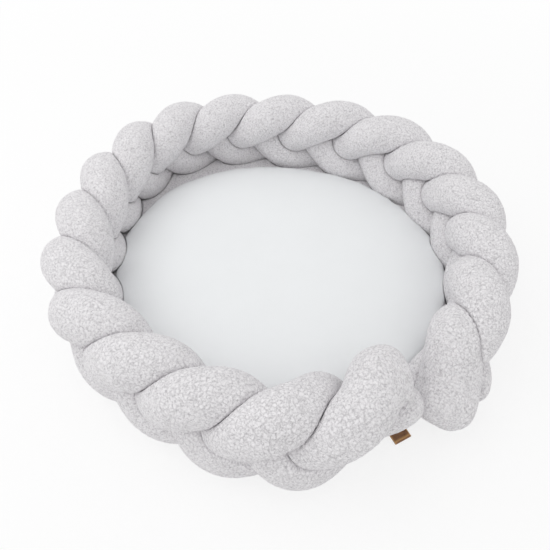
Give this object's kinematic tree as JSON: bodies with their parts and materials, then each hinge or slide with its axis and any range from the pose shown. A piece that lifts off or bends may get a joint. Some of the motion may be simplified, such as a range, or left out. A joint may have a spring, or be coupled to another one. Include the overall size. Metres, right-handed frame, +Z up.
{
  "type": "infant lounger",
  "caption": "Oval infant nest with a thick braided bolster rail of stuffed boucle tubes round a padded base, a domed lift-out mattress, a zip underneath and a leather tag.",
  "frame": {"origin": "on the floor under the middle of the nest's overall footprint", "axes": "+Z up, +X to the right and +Y away as seen from the side where the ends of the plait meet"},
  "size_m": [0.8332, 0.8534, 0.1916],
  "materials": {
    "boucle": "looped boucle knit, pale warm grey",
    "wadding": "loose polyester wadding",
    "lining": "plain woven lining, quilted",
    "cotton": "smooth cotton jersey, very pale cool grey",
    "foam": "soft open-cell foam",
    "elastic": "woven elastic band",
    "zip_tape": "woven polyester tape",
    "nylon": "moulded nylon coil",
    "zinc": "die-cast zinc, nickel plated",
    "leather": "brown leather with a raw cut edge"
  },
  "bodies": {
    "nest": {"strand_cover_1": "boucle", "strand_cover_2": "boucle", "strand_cover_3": "boucle", "strand_filling_1": "wadding", "strand_filling_2": "wadding", "strand_filling_3": "wadding", "base_bottom_panel": "lining", "base_wadding": "wadding", "base_top_panel": "boucle", "zip_tape_front": "zip_tape", "zip_tape_back": "zip_tape", "zip_coil_front": "nylon", "zip_coil_back": "nylon", "zip_stop_closed": "zinc", "zip_stop_open": "zinc", "tag_root": "leather"},
    "mattress": {"mattress_sheet": "cotton", "mattress_core": "foam", "hem_elastic": "elastic"},
    "zip_slider": {"zip_slider": "zinc"},
    "zip_puller": {"zip_puller": "zinc"},
    "tag": {"tag_flap": "leather"}
  },
  "joints": [
    {"name": "mattress_lift", "type": "slide", "parent": "nest", "child": "mattress", "axis": [0, 0, 1], "range_m": [0, 0.25]},
    {"name": "slider_run", "type": "slide", "parent": "nest", "child": "zip_slider", "axis": [1, 0, 0], "range_m": [0, 0.4]},
    {"name": "puller_swing", "type": "hinge", "parent": "zip_slider", "child": "zip_puller", "pos_m": [-0.20164, -0.10667, 0.0025], "axis": [0, 1, 0], "range_deg": [-3, 86]},
    {"name": "tag_lift", "type": "hinge", "parent": "nest", "child": "tag", "pos_m": [0.17631, -0.32389, 0.0038], "axis": [-0.9064, -0.4225, 0], "range_deg": [0, 45]}
  ]
}
